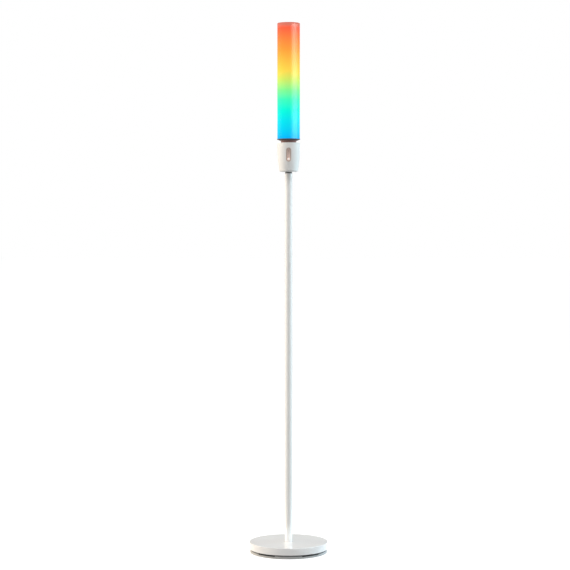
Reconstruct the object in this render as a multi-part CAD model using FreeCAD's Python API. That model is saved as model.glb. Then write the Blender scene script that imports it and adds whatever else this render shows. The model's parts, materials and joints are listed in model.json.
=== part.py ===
import FreeCAD, Part

import math
import os
from collections import namedtuple

# Floor lamp: a weighted round base, a slim three-section pole and a light head with a tall frosted tube.
# Millimetres, Z up. The origin is on the floor on the pole's axis, and the front, with the slider, faces -Y.

V = FreeCAD.Vector
Screw = namedtuple("Screw", "shank head_radius head_height")

# ---------------------------------------------------------------- driving dimensions

# base
BASE_RADIUS = 107.0
BASE_TOP = 29.0
SHELL_BOTTOM = 10.0
SHELL_WALL = 3.0
SHELL_TOP_ROUND = 1.6
SHELL_LOW_ROUND = 1.0
FOOT_HEIGHT = 5.0
FOOT_INNER_RADIUS = 89.5
FOOT_OUTER_RADIUS = 104.5
FOOT_EDGE_ROUND = 0.6
LUG_COUNT = 5
LUG_TOP = 8.2
LUG_HALF_ANGLE = 20.6
LUG_ROUND = 1.0
BOSS_HEIGHT = 2.8
BOSS_MARGIN = 2.5
BOSS_ANGLE_MARGIN = 2.0
PLATE_RADIUS = 102.5
PLATE_STEP = 2.0
PLATE_GAP = 0.2
PLATE_SCREW_RADIUS = 70.0
PLATE_SCREW_ANGLES = (-90.0, 30.0, 150.0)
PLATE_SCREW_RECESS = 3.0
BALLAST_THICKNESS = 10.0
BALLAST_RADIUS = 100.5
COUNTERBORE_RADIUS = 15.0
CLAMPED_THICKNESS = 3.0

# inlet in the rear of the base, for a plug 5.5 mm across with a 2.1 mm pin
JACK_HEIGHT = 19.0
JACK_RADIUS = 5.5
JACK_LENGTH = 20.0
JACK_SUNK = 0.15
JACK_BORE_RADIUS = 3.1
JACK_BORE_DEPTH = 10.0
JACK_PIN_RADIUS = 1.05
JACK_TAIL = 4.0
JACK_NUT_FLATS = 13.0
JACK_PAD_WIDTH = 19.2
JACK_PAD_THICKNESS = 2.5
JACK_RECESS_WIDTH = 21.0
JACK_RECESS_START = 57.0

# pole
POLE_RADIUS = 10.0
POLE_WALL = 1.2
POLE_TOP = 1030.5
POLE_EDGE_ROUND = 0.25
SECTIONS = 3
INSERT_LENGTH = 18.0
STUD_RADIUS = 5.0
STUD_BORE_RADIUS = 3.5
STUD_IN_SOCKET = 14.0
STUD_PAST_NUT = 2.5
NUT_FLATS = 14.0
NUT_HEIGHT = 3.0
WASHER_HEIGHT = 1.5
BASE_WASHER_RADIUS = 12.0
HEAD_WASHER_RADIUS = 10.0
COLLAR_RADIUS = 9.4

# housing of the head: straight at the top, then an arc drawn in towards a rounded lower corner
HOUSING_BOTTOM = 1035.0
HOUSING_TOP = 1113.0
HOUSING_RADIUS = 30.7
HOUSING_TAPER_START = 1094.0
HOUSING_LOW_RADIUS = 26.3
HOUSING_LOW = 1041.5
HOUSING_FLOOR_RADIUS = 22.3
HOUSING_WALL = 2.4
HOUSING_FLOOR = 3.0
HOUSING_EDGE_ROUND = 0.7
LID_THICKNESS = 4.0
LID_RADIUS = 28.9
LID_HOLE_RADIUS = 4.0
POST_RADIUS = 3.5
POST_PLACES = ((16.4, 2.0), (-16.4, 2.0), (0.0, 17.0))
POST_BORE_DEPTH = 14.0
HOUSING_SCREW_RECESS = 1.8

# slider, in a pill-shaped bezel
BEZEL_WIDTH = 13.8
BEZEL_LENGTH = 37.6
BEZEL_MIDDLE = 1080.1
BEZEL_PROUD = 0.35
BEZEL_BACK = -25.2
CHANNEL_WIDTH = 7.8
CHANNEL_LENGTH = 30.4
CHANNEL_FLOOR = -27.2
SLIT_WIDTH = 3.0
SLIT_END_GAP = 1.0
KNOB_RADIUS = 3.25
KNOB_CLEARANCE = 0.3
KNOB_FRONT = -30.7
KNOB_BACK = -27.6
KNOB_ROUND = 0.8
SLIDER_TRAVEL = 22.0
LEVER_WIDTH = 1.8
LEVER_HEIGHT = 4.0
LEVER_IN_KNOB = 1.8
LEVER_BACK = -18.0
WIPER_SIZE = (5.0, 0.6, 6.0)
POT_FRONT = -21.4
POT_WIDTH = 9.0
POT_LENGTH = 42.0
POT_FRONT_WALL = 1.0
POT_WALL = 1.0
POT_END_WALL = 2.0
POT_SLOT_WIDTH = 2.6
TRACK_WIDTH = 6.0
TRACK_THICKNESS = 0.8

# control board
BOARD_BACK = -12.4
BOARD_THICKNESS = 1.6
BOARD_WIDTH = 34.0
BOARD_BOTTOM = 1052.0
BOARD_TOP = 1105.0
BOARD_SCREW_INSET = 4.0
RAIL_WIDTH = 4.0
RAIL_DEPTH = 3.0
FLANGE_THICKNESS = 2.6
FLANGE_BACK = -6.2
FRAME_SCREW_PLACES = ((-11.5, -9.0), (11.5, -9.0))
FRAME_SCREW_RECESS = 2.0
SOCKET_SIZE = 8.0
POWER_ENTRY = V(-8.0, -9.2, 1072.0)
LED_ENTRY = V(8.0, -9.2, 1086.0)

# neck and light tube
NECK_HEIGHT = 5.9
NECK_LOW_RADIUS = 20.3
NECK_TOP_RADIUS = 21.9
NECK_HOLLOW = 0.4
NECK_BORE_RADIUS = 15.0
NECK_SCREW_RADIUS = 18.0
NECK_SCREW_ANGLES = (-90.0, 60.0, 120.0)
NECK_SCREW_IN_SEAT = 3.0
SEAT_RADIUS = 31.2
SEAT_CONE_RADIUS = 23.0
SEAT_HEIGHT = 4.7
SEAT_RIM = 1.8
SEAT_FLOOR = 3.8
SEAT_SPIGOT_HEIGHT = 7.0
SEAT_SPIGOT_WALL = 3.0
TUBE_RADIUS = 30.5
TUBE_WALL = 2.5
LAMP_TOP = 1435.0
CAP_THICKNESS = 3.5
CAP_ROUND = 1.0
CAP_SPIGOT_HEIGHT = 5.0
CAP_SPIGOT_WALL = 2.0
CORE_WIDTH = 22.0
CORE_WALL = 1.5
CORE_TOP = 1416.0
CORE_BASE_RADIUS = 22.0
CORE_BASE_THICKNESS = 4.0
CORE_PLUG_HEIGHT = 12.0
CORE_SCREW_RADIUS = 18.6
CORE_SCREW_ANGLES = (45.0, 135.0, 225.0, 315.0)
CORE_SCREW_IN_SEAT = 2.6
SPACER_THICKNESS = 3.0
SPACER_PLUG = 10.0
SPACER_GAP = 0.2
STRIP_WIDTH = 10.0
STRIP_THICKNESS = 1.2
STRIP_END_GAP = 6.0
CHIP_SIZE = 5.0
CHIP_HEIGHT = 1.6
CHIPS_PER_STRIP = 18

# leads
POWER_LEAD_RADIUS = 1.6
LED_LEAD_RADIUS = 1.4
BASE_BEND = 7.0
HEAD_BEND = 12.0
LED_BEND = 10.0
STRAIGHT_AT_SOCKET = 6.0

# screws, by shank radius, head radius and head height
PLATE_SCREW = Screw(2.0, 3.8, 2.4)
NECK_SCREW = Screw(1.5, 2.7, 2.0)
HOUSING_SCREW = Screw(1.25, 2.6, 1.5)
FRAME_SCREW = Screw(1.1, 2.4, 1.6)
BOARD_SCREW = Screw(1.0, 1.9, 1.2)
SCREW_PLAY = 0.2

# ---------------------------------------------------------------- levels worked out from them

SHELL_INSIDE = BASE_RADIUS - SHELL_WALL
PLATE_TOP = SHELL_BOTTOM + PLATE_STEP
CAVITY_TOP = BASE_TOP - SHELL_WALL
BALLAST_BOTTOM = CAVITY_TOP - BALLAST_THICKNESS
COUNTERBORE_TOP = CAVITY_TOP - CLAMPED_THICKNESS
BASE_NUT_BOTTOM = COUNTERBORE_TOP - WASHER_HEIGHT - NUT_HEIGHT
POLE_INNER_RADIUS = POLE_RADIUS - POLE_WALL
SECTION_LENGTH = (POLE_TOP - BASE_TOP) / SECTIONS
HOUSING_FLOOR_TOP = HOUSING_BOTTOM + HOUSING_FLOOR
HEAD_NUT_BOTTOM = HOUSING_FLOOR_TOP + WASHER_HEIGHT
HEAD_STUD_TOP = HEAD_NUT_BOTTOM + NUT_HEIGHT + STUD_PAST_NUT
LID_BOTTOM = HOUSING_TOP - LID_THICKNESS
FLANGE_BOTTOM = LID_BOTTOM - FLANGE_THICKNESS
NECK_TOP = HOUSING_TOP + NECK_HEIGHT
SEAT_TOP = NECK_TOP + SEAT_HEIGHT
SEAT_FLOOR_TOP = NECK_TOP + SEAT_FLOOR
TUBE_INNER_RADIUS = TUBE_RADIUS - TUBE_WALL
TUBE_TOP = LAMP_TOP - CAP_THICKNESS
CORE_BASE_TOP = SEAT_FLOOR_TOP + CORE_BASE_THICKNESS
CORE_INNER = CORE_WIDTH - 2 * CORE_WALL
BOARD_FRONT = BOARD_BACK - BOARD_THICKNESS
KNOB_HEIGHT = BEZEL_MIDDLE - CHANNEL_LENGTH / 2 + KNOB_RADIUS + KNOB_CLEARANCE
TRAVEL_MIDDLE = KNOB_HEIGHT + SLIDER_TRAVEL / 2
POT_LOW = TRAVEL_MIDDLE - POT_LENGTH / 2
POT_HIGH = TRAVEL_MIDDLE + POT_LENGTH / 2
JACK_FACE = BASE_RADIUS - JACK_SUNK
JACK_BACK = JACK_FACE - JACK_LENGTH

AXIS = V(0, 0, 1)
CENTRE = V(0, 0, 0)
TOLERANCE = 1e-4

# ---------------------------------------------------------------- shapes


def cylinder(radius, low, high, x=0.0, y=0.0):
    return Part.makeCylinder(radius, high - low, V(x, y, low), AXIS)


def ring(outer, inner, low, high):
    return cylinder(outer, low, high).cut(cylinder(inner, low, high))


def rod_along_y(radius, back, front, x, z):
    """A round bar between two values of Y."""
    return Part.makeCylinder(radius, front - back, V(x, back, z), V(0, 1, 0))


def box(x_range, y_range, z_range):
    (x0, x1), (y0, y1), (z0, z1) = x_range, y_range, z_range
    return Part.makeBox(x1 - x0, y1 - y0, z1 - z0, V(x0, y0, z0))


def wide(size, middle=0.0):
    """The two ends of a size laid out evenly about its middle."""
    return middle - size / 2, middle + size / 2


def outline(start, *steps):
    """A closed wire in the XZ plane. A step is a corner (r, z), or an arc as a point on it and its end."""
    edges = []
    here = V(start[0], 0, start[1])
    for step in steps + (start,):
        if isinstance(step[0], tuple):
            middle, end = (V(r, 0, z) for r, z in step)
            edges.append(Part.Arc(here, middle, end).toShape())
        else:
            end = V(step[0], 0, step[1])
            edges.append(Part.LineSegment(here, end).toShape())
        here = end
    return Part.Wire(edges)


def turned(start, *steps):
    """The outline turned once round the Z axis."""
    return Part.Face(outline(start, *steps)).revolve(CENTRE, AXIS, 360)


def rims(shape, radius, height):
    """The round horizontal edges of one radius at one height."""
    found = []
    for edge in shape.Edges:
        curve = edge.Curve
        if not isinstance(curve, Part.Circle):
            continue
        if abs(curve.Radius - radius) < TOLERANCE and abs(curve.Center.z - height) < TOLERANCE:
            found.append(edge)
    return found


def rounded(shape, size, *places):
    """The shape with its round edges at each (radius, height) filleted."""
    for radius, height in places:
        shape = shape.makeFillet(size, rims(shape, radius, height))
    return shape


def edges_along(shape, direction):
    """The straight edges that run in one direction."""
    return [edge for edge in shape.Edges if abs(edge.tangentAt(edge.FirstParameter).dot(direction)) > 0.99]


def pill(width, length, back, front, middle):
    """An upright slot shape with round ends, between two values of Y."""
    ends = wide(length - width, middle)
    body = box(wide(width), (back, front), ends)
    for end in ends:
        body = body.fuse(rod_along_y(width / 2, back, front, 0, end))
    return body.removeSplitter()


def hexagon(across_flats, low, high, x=0.0, y=0.0):
    """A six-sided prism with two flats facing X."""
    corner = across_flats / math.sqrt(3)
    turns = [math.radians(60 * i) for i in range(7)]
    points = [V(x + corner * math.sin(turn), y + corner * math.cos(turn), low) for turn in turns]
    return Part.Face(Part.makePolygon(points)).extrude(V(0, 0, high - low))


def nut(across_flats, bore, low, high):
    """A hexagon nut with its outer corners broken."""
    corner = across_flats / math.sqrt(3)
    edge = (corner - across_flats / 2) * 0.6
    inside = corner - edge
    lathe = turned((0, low), (inside, low), (corner, low + edge), (corner, high - edge), (inside, high),
                   (0, high))
    return hexagon(across_flats, low, high).common(lathe).cut(cylinder(bore, low, high))


def polar(radius, degrees):
    angle = math.radians(degrees)
    return radius * math.cos(angle), radius * math.sin(angle)


def group(shapes):
    """Several separate solids in one shape."""
    return Part.makeCompound(list(shapes))


def screw(kind, x, y, under_head, tip):
    """An upright pan-head screw with a hexagon recess, from the height under its head to its tip."""
    outer = under_head - math.copysign(kind.head_height, tip - under_head)
    recess_floor = under_head + (outer - under_head) * 0.4
    head = cylinder(kind.head_radius, min(under_head, outer), max(under_head, outer), x, y)
    head = rounded(head, kind.head_height * 0.35, (kind.head_radius, outer))
    body = head.fuse(cylinder(kind.shank, min(under_head, tip), max(under_head, tip), x, y))
    return body.cut(hexagon(kind.head_radius, min(outer, recess_floor), max(outer, recess_floor), x, y))


def tube_path(points, bends):
    """Straight runs through the points, joined by tangent arcs with a bend radius for each inner point."""
    edges = []
    here = points[0]
    for before, corner, after, radius in zip(points, points[1:], points[2:], bends):
        incoming = (corner - before).normalize()
        outgoing = (after - corner).normalize()
        half_turn = incoming.getAngle(outgoing) / 2
        setback = radius * math.tan(half_turn)
        start = corner - incoming * setback
        end = corner + outgoing * setback
        inward = (outgoing - incoming).normalize()
        middle = corner + inward * (radius / math.cos(half_turn) - radius)
        edges.append(Part.LineSegment(here, start).toShape())
        edges.append(Part.Arc(start, middle, end).toShape())
        here = end
    edges.append(Part.LineSegment(here, points[-1]).toShape())
    return Part.Wire(edges)


def lead(points, bends, radius):
    """A round lead along a path. Its volume is set against section times length, as a test of the sweep."""
    path = tube_path(points, bends)
    section = Part.Wire(Part.Circle(points[0], points[1] - points[0], radius).toShape())
    solid = path.makePipeShell([section], True, False)
    share = solid.Volume / (math.pi * radius ** 2 * path.Length)
    print(f"lead {path.Length:.1f} mm long, bend radii {bends}, volume {share:.4f} of section times length")
    return solid


# ---------------------------------------------------------------- base


def plate_screw_places():
    return [polar(PLATE_SCREW_RADIUS, angle) for angle in PLATE_SCREW_ANGLES]


def base_shell():
    """The white casing, with a flat pad inside its rear wall for the inlet's nut."""
    shell = rounded(cylinder(BASE_RADIUS, SHELL_BOTTOM, BASE_TOP), SHELL_TOP_ROUND, (BASE_RADIUS, BASE_TOP))
    shell = rounded(shell, SHELL_LOW_ROUND, (BASE_RADIUS, SHELL_BOTTOM))
    shell = shell.cut(cylinder(SHELL_INSIDE, SHELL_BOTTOM, CAVITY_TOP))
    pad_y = SHELL_INSIDE - JACK_PAD_THICKNESS, BASE_RADIUS
    pad = box(wide(JACK_PAD_WIDTH), pad_y, (PLATE_TOP, CAVITY_TOP))
    pad = pad.common(cylinder(SHELL_INSIDE + SHELL_WALL / 2, PLATE_TOP, CAVITY_TOP))
    shell = shell.fuse(pad).removeSplitter()
    shell = shell.cut(rod_along_y(JACK_RADIUS, JACK_BACK, BASE_RADIUS + 1, 0, JACK_HEIGHT))
    return shell.cut(cylinder(STUD_RADIUS, CAVITY_TOP, BASE_TOP))


def ballast_plate():
    """The steel weight, cut away round the inlet and from below round the base nut."""
    plate = cylinder(BALLAST_RADIUS, BALLAST_BOTTOM, CAVITY_TOP)
    recess_y = JACK_RECESS_START, BASE_RADIUS
    plate = plate.cut(box(wide(JACK_RECESS_WIDTH), recess_y, (BALLAST_BOTTOM, CAVITY_TOP)))
    plate = plate.cut(cylinder(COUNTERBORE_RADIUS, BALLAST_BOTTOM, COUNTERBORE_TOP))
    plate = plate.cut(cylinder(STUD_RADIUS, COUNTERBORE_TOP, CAVITY_TOP))
    for x, y in plate_screw_places():
        plate = plate.cut(cylinder(PLATE_SCREW.shank, BALLAST_BOTTOM, CAVITY_TOP - 1, x, y))
    return plate


def arc_pad(inner, outer, half_angle, low, high, middle_angle):
    """A curved pad with square ends."""
    corners = [V(*polar(2 * outer, middle_angle + side * half_angle), 0) for side in (-1, 1)]
    sector = Part.Face(Part.makePolygon([CENTRE, *corners, CENTRE])).extrude(V(0, 0, high))
    return ring(outer, inner, low, high).common(sector)


def lug_angles():
    """One lug is at the front, in the middle."""
    return [-90 + i * 360 / LUG_COUNT for i in range(LUG_COUNT)]


def foot_lug(angle):
    """A lug that stands up from the foot ring and holds the edge of the bottom plate."""
    lug = arc_pad(PLATE_RADIUS, FOOT_OUTER_RADIUS, LUG_HALF_ANGLE, FOOT_HEIGHT - 1, LUG_TOP, angle)
    outer_corners = [edge for edge in edges_along(lug, AXIS)
                     if math.hypot(edge.CenterOfMass.x, edge.CenterOfMass.y) > FOOT_OUTER_RADIUS - LUG_ROUND]
    return lug.makeFillet(LUG_ROUND, outer_corners)


def foot_boss(angle):
    """The raised part inside a lug, which fills its pocket in the bottom plate."""
    half_angle = LUG_HALF_ANGLE - BOSS_ANGLE_MARGIN
    return arc_pad(FOOT_INNER_RADIUS + BOSS_MARGIN, PLATE_RADIUS - BOSS_MARGIN, half_angle,
                   FOOT_HEIGHT, FOOT_HEIGHT + BOSS_HEIGHT, angle)


def foot_ring():
    """The rubber ring that the base stands on, with five lugs round its outer edge."""
    body = ring(FOOT_OUTER_RADIUS, FOOT_INNER_RADIUS, 0, FOOT_HEIGHT)
    body = rounded(body, FOOT_EDGE_ROUND, (FOOT_OUTER_RADIUS, 0), (FOOT_INNER_RADIUS, 0))
    for angle in lug_angles():
        body = body.fuse([foot_lug(angle), foot_boss(angle)])
    return body.removeSplitter()


def bottom_plate():
    """The black closing plate, with a spacer under the ballast round each screw."""
    plate = rounded(cylinder(PLATE_RADIUS, FOOT_HEIGHT, SHELL_BOTTOM), 0.6, (PLATE_RADIUS, FOOT_HEIGHT))
    plate = plate.fuse(cylinder(SHELL_INSIDE - PLATE_GAP, SHELL_BOTTOM, PLATE_TOP))
    for x, y in plate_screw_places():
        plate = plate.fuse(cylinder(PLATE_SCREW.head_radius + 1.2, PLATE_TOP, BALLAST_BOTTOM, x, y))
        plate = plate.cut(cylinder(PLATE_SCREW.shank + SCREW_PLAY, FOOT_HEIGHT, BALLAST_BOTTOM, x, y))
        plate = plate.cut(cylinder(PLATE_SCREW.head_radius + 2 * SCREW_PLAY, FOOT_HEIGHT,
                                   FOOT_HEIGHT + PLATE_SCREW_RECESS, x, y))
    for angle in lug_angles():
        plate = plate.cut(foot_boss(angle))
    return plate.removeSplitter()


def bottom_screws():
    return group(screw(PLATE_SCREW, x, y, FOOT_HEIGHT + PLATE_SCREW_RECESS, CAVITY_TOP - 2)
                 for x, y in plate_screw_places())


def base_stud():
    """The hollow threaded stud that the base nut pulls down."""
    return ring(STUD_RADIUS, STUD_BORE_RADIUS, BASE_NUT_BOTTOM - 0.5, BASE_TOP + STUD_IN_SOCKET)


def base_washer():
    return ring(BASE_WASHER_RADIUS, STUD_RADIUS, COUNTERBORE_TOP - WASHER_HEIGHT, COUNTERBORE_TOP)


def base_nut():
    return nut(NUT_FLATS, STUD_RADIUS, BASE_NUT_BOTTOM, BASE_NUT_BOTTOM + NUT_HEIGHT)


# ---------------------------------------------------------------- inlet


def dc_jack():
    body = rod_along_y(JACK_RADIUS, JACK_BACK, JACK_FACE, 0, JACK_HEIGHT)
    body = body.cut(rod_along_y(JACK_BORE_RADIUS, JACK_FACE - JACK_BORE_DEPTH, JACK_FACE, 0, JACK_HEIGHT))
    return body.cut(jack_contacts())


def jack_contacts():
    """The centre pin and the sprung strip at the top of the bore, each with its tail behind the body."""
    pin = rod_along_y(JACK_PIN_RADIUS, JACK_BACK - JACK_TAIL, JACK_FACE - 1, 0, JACK_HEIGHT)
    bore_top = JACK_HEIGHT + JACK_BORE_RADIUS
    strip = box(wide(1.6), (JACK_BACK - JACK_TAIL, JACK_FACE - 2.5), (bore_top - 0.9, bore_top - 0.3))
    return group((pin, strip))


def jack_nut():
    """The inlet's nut, against the pad inside the casing, with two flats level."""
    body = nut(JACK_NUT_FLATS, JACK_RADIUS, 0, NUT_HEIGHT)
    body.rotate(CENTRE, V(1, 0, 0), -90)
    body.rotate(CENTRE, V(0, 1, 0), 90)
    body.translate(V(0, SHELL_INSIDE - JACK_PAD_THICKNESS - NUT_HEIGHT, JACK_HEIGHT))
    return body


# ---------------------------------------------------------------- pole


def section_bottom(index):
    return BASE_TOP + index * SECTION_LENGTH


def pole_section(index):
    low, high = section_bottom(index), section_bottom(index + 1)
    tube = ring(POLE_RADIUS, POLE_INNER_RADIUS, low, high)
    return rounded(tube, POLE_EDGE_ROUND, (POLE_RADIUS, low), (POLE_RADIUS, high))


def pole_sockets():
    """Threaded inserts at the foot of each section and at the top of the last one."""
    lows = [section_bottom(i) for i in range(SECTIONS)] + [POLE_TOP - INSERT_LENGTH]
    return group(ring(POLE_INNER_RADIUS, STUD_RADIUS, low, low + INSERT_LENGTH) for low in lows)


def pole_spigot(joint):
    """An insert with a threaded nose that screws into the section above the joint."""
    body = cylinder(POLE_INNER_RADIUS, joint - INSERT_LENGTH, joint)
    body = body.fuse(cylinder(STUD_RADIUS, joint, joint + STUD_IN_SOCKET))
    return body.cut(cylinder(STUD_BORE_RADIUS, joint - INSERT_LENGTH, joint + STUD_IN_SOCKET))


def pole_spigots():
    return group(pole_spigot(section_bottom(i)) for i in range(1, SECTIONS))


def pole_collar():
    return rounded(ring(COLLAR_RADIUS, STUD_RADIUS, POLE_TOP, HOUSING_BOTTOM), 0.4, (COLLAR_RADIUS, POLE_TOP))


def head_stud():
    return ring(STUD_RADIUS, STUD_BORE_RADIUS, POLE_TOP - STUD_IN_SOCKET, HEAD_STUD_TOP)


def head_washer():
    return ring(HEAD_WASHER_RADIUS, STUD_RADIUS, HOUSING_FLOOR_TOP, HEAD_NUT_BOTTOM)


def head_nut():
    return nut(NUT_FLATS, STUD_RADIUS, HEAD_NUT_BOTTOM, HEAD_NUT_BOTTOM + NUT_HEIGHT)


# ---------------------------------------------------------------- housing


def taper_arc(top_radius, low_radius, low):
    """The middle and the end of an arc from (low_radius, low) up to the straight wall, tangent to it."""
    drop = HOUSING_TAPER_START - low
    inward = top_radius - low_radius
    arc_radius = (drop ** 2 + inward ** 2) / (2 * inward)
    middle = top_radius - arc_radius + math.sqrt(arc_radius ** 2 - (drop / 2) ** 2)
    return (middle, HOUSING_TAPER_START - drop / 2), (top_radius, HOUSING_TAPER_START)


def housing_body(proud=0.0):
    """The housing's outer form, solid, or standing proud of it above its lower corner."""
    top_radius = HOUSING_RADIUS + proud
    low_radius = HOUSING_LOW_RADIUS + proud
    corner = HOUSING_LOW_RADIUS - 1.1, HOUSING_BOTTOM + 2.2
    return turned((0, HOUSING_BOTTOM), (HOUSING_FLOOR_RADIUS, HOUSING_BOTTOM),
                  (corner, (low_radius, HOUSING_LOW)), taper_arc(top_radius, low_radius, HOUSING_LOW),
                  (top_radius, HOUSING_TOP), (0, HOUSING_TOP))


def housing_hollow():
    """The space inside, with a wider mouth at the top that takes the lid."""
    top_radius = HOUSING_RADIUS - HOUSING_WALL
    low_radius = HOUSING_LOW_RADIUS - HOUSING_WALL
    low = HOUSING_LOW + 1.0
    return turned((0, HOUSING_FLOOR_TOP), (HOUSING_FLOOR_RADIUS - 0.6, HOUSING_FLOOR_TOP), (low_radius, low),
                  taper_arc(top_radius, low_radius, low), (top_radius, LID_BOTTOM), (LID_RADIUS, LID_BOTTOM),
                  (LID_RADIUS, HOUSING_TOP), (0, HOUSING_TOP))


def housing_shell():
    shell = rounded(housing_body(), HOUSING_EDGE_ROUND, (HOUSING_RADIUS, HOUSING_TOP)).cut(housing_hollow())
    shell = shell.cut(cylinder(STUD_RADIUS, HOUSING_BOTTOM, HOUSING_FLOOR_TOP))
    shell = shell.cut(pill(BEZEL_WIDTH, BEZEL_LENGTH, -2 * HOUSING_RADIUS, BEZEL_BACK, BEZEL_MIDDLE))
    for x, y in POST_PLACES:
        shell = shell.cut(cylinder(HOUSING_SCREW.shank + SCREW_PLAY, HOUSING_BOTTOM, HOUSING_FLOOR_TOP, x, y))
        shell = shell.cut(cylinder(HOUSING_SCREW.head_radius + 2 * SCREW_PLAY, HOUSING_BOTTOM,
                                   HOUSING_BOTTOM + HOUSING_SCREW_RECESS, x, y))
    return shell


def housing_screws():
    """From under the housing up into the lid's posts."""
    return group(screw(HOUSING_SCREW, x, y, HOUSING_BOTTOM + HOUSING_SCREW_RECESS, HOUSING_FLOOR_TOP + 12)
                 for x, y in POST_PLACES)


def neck_screw_places():
    return [polar(NECK_SCREW_RADIUS, angle) for angle in NECK_SCREW_ANGLES]


def housing_lid():
    """A disc in the housing's mouth, on three posts that stand on its floor."""
    lid = cylinder(LID_RADIUS, LID_BOTTOM, HOUSING_TOP)
    for x, y in POST_PLACES:
        lid = lid.fuse(cylinder(POST_RADIUS, HOUSING_FLOOR_TOP, LID_BOTTOM, x, y))
        bore_top = HOUSING_FLOOR_TOP + POST_BORE_DEPTH
        lid = lid.cut(cylinder(HOUSING_SCREW.shank, HOUSING_FLOOR_TOP, bore_top, x, y))
    for x, y in neck_screw_places():
        lid = lid.cut(cylinder(NECK_SCREW.shank + SCREW_PLAY, LID_BOTTOM, HOUSING_TOP, x, y))
    for x, y in FRAME_SCREW_PLACES:
        recess_floor = HOUSING_TOP - FRAME_SCREW_RECESS
        lid = lid.cut(cylinder(FRAME_SCREW.shank + SCREW_PLAY, LID_BOTTOM, HOUSING_TOP, x, y))
        lid = lid.cut(cylinder(FRAME_SCREW.head_radius + SCREW_PLAY, recess_floor, HOUSING_TOP, x, y))
    return lid.cut(cylinder(LID_HOLE_RADIUS, LID_BOTTOM, HOUSING_TOP))


# ---------------------------------------------------------------- slider


def slot_bezel():
    """A trim ring with a slit floor, its face following the curve of the housing."""
    rim = pill(BEZEL_WIDTH, BEZEL_LENGTH, -2 * HOUSING_RADIUS, BEZEL_BACK, BEZEL_MIDDLE)
    rim = rim.common(housing_body(BEZEL_PROUD))
    rim = rim.cut(pill(CHANNEL_WIDTH, CHANNEL_LENGTH, -2 * HOUSING_RADIUS, CHANNEL_FLOOR, BEZEL_MIDDLE))
    slit_length = SLIDER_TRAVEL + LEVER_HEIGHT + 2 * SLIT_END_GAP
    return rim.cut(pill(SLIT_WIDTH, slit_length, CHANNEL_FLOOR, BEZEL_BACK, TRAVEL_MIDDLE))


def slider_knob():
    knob = rod_along_y(KNOB_RADIUS, KNOB_FRONT, KNOB_BACK, 0, KNOB_HEIGHT)
    front_edges = [edge for edge in knob.Edges if abs(edge.CenterOfMass.y - KNOB_FRONT) < TOLERANCE]
    return knob.makeFillet(KNOB_ROUND, front_edges).cut(slider_lever())


def slider_lever():
    return box(wide(LEVER_WIDTH), (KNOB_BACK - LEVER_IN_KNOB, LEVER_BACK), wide(LEVER_HEIGHT, KNOB_HEIGHT))


def slider_wiper():
    """The sprung contact on the end of the lever, inside the potentiometer."""
    width, thickness, height = WIPER_SIZE
    return box(wide(width), (LEVER_BACK, LEVER_BACK + thickness), wide(height, KNOB_HEIGHT))


def slide_potentiometer():
    """A slotted can with a hollow for the wiper."""
    body = box(wide(POT_WIDTH), (POT_FRONT, BOARD_FRONT), (POT_LOW, POT_HIGH))
    hollow = box(wide(POT_WIDTH - 2 * POT_WALL), (POT_FRONT + POT_FRONT_WALL, BOARD_FRONT - POT_END_WALL),
                 (POT_LOW + POT_END_WALL, POT_HIGH - POT_END_WALL))
    slot_length = SLIDER_TRAVEL + LEVER_HEIGHT + 2 * SLIT_END_GAP
    slot_y = POT_FRONT, POT_FRONT + POT_FRONT_WALL
    return body.cut(hollow).cut(box(wide(POT_SLOT_WIDTH), slot_y, wide(slot_length, TRAVEL_MIDDLE)))


def resistor_track():
    """The printed track at the back of the potentiometer's hollow."""
    back = BOARD_FRONT - POT_END_WALL
    ends = POT_LOW + POT_END_WALL, POT_HIGH - POT_END_WALL
    return box(wide(TRACK_WIDTH), (back - TRACK_THICKNESS, back), ends)


# ---------------------------------------------------------------- control board


def board_screw_places():
    across = BOARD_WIDTH / 2 - RAIL_WIDTH / 2
    heights = BOARD_BOTTOM + BOARD_SCREW_INSET, BOARD_TOP - BOARD_SCREW_INSET
    return [(x, z) for x in (-across, across) for z in heights]


def control_board():
    board = box(wide(BOARD_WIDTH), (BOARD_FRONT, BOARD_BACK), (BOARD_BOTTOM, BOARD_TOP))
    for x, z in board_screw_places():
        board = board.cut(rod_along_y(BOARD_SCREW.shank + SCREW_PLAY, BOARD_FRONT, BOARD_BACK, x, z))
    return board


def board_frame():
    """Two upright rails under a flange that is screwed to the lid."""
    frame = box(wide(BOARD_WIDTH), (BOARD_BACK, FLANGE_BACK), (FLANGE_BOTTOM, LID_BOTTOM))
    rail_middle = BOARD_WIDTH / 2 - RAIL_WIDTH / 2
    rail_back = BOARD_BACK + RAIL_DEPTH
    for x in (-rail_middle, rail_middle):
        frame = frame.fuse(box(wide(RAIL_WIDTH, x), (BOARD_BACK, rail_back), (BOARD_BOTTOM, LID_BOTTOM)))
    for x, z in board_screw_places():
        frame = frame.cut(rod_along_y(BOARD_SCREW.shank, BOARD_BACK, rail_back, x, z))
    for x, y in FRAME_SCREW_PLACES:
        frame = frame.cut(cylinder(FRAME_SCREW.shank, FLANGE_BOTTOM, LID_BOTTOM, x, y))
    return frame.removeSplitter()


def board_screws():
    screws = []
    for x, z in board_screw_places():
        one = screw(BOARD_SCREW, 0, 0, 0, BOARD_THICKNESS + RAIL_DEPTH)
        one.rotate(CENTRE, V(1, 0, 0), -90)
        one.translate(V(x, BOARD_FRONT, z))
        screws.append(one)
    return group(screws)


def frame_screws():
    return group(screw(FRAME_SCREW, x, y, HOUSING_TOP - FRAME_SCREW_RECESS, FLANGE_BOTTOM)
                 for x, y in FRAME_SCREW_PLACES)


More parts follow.
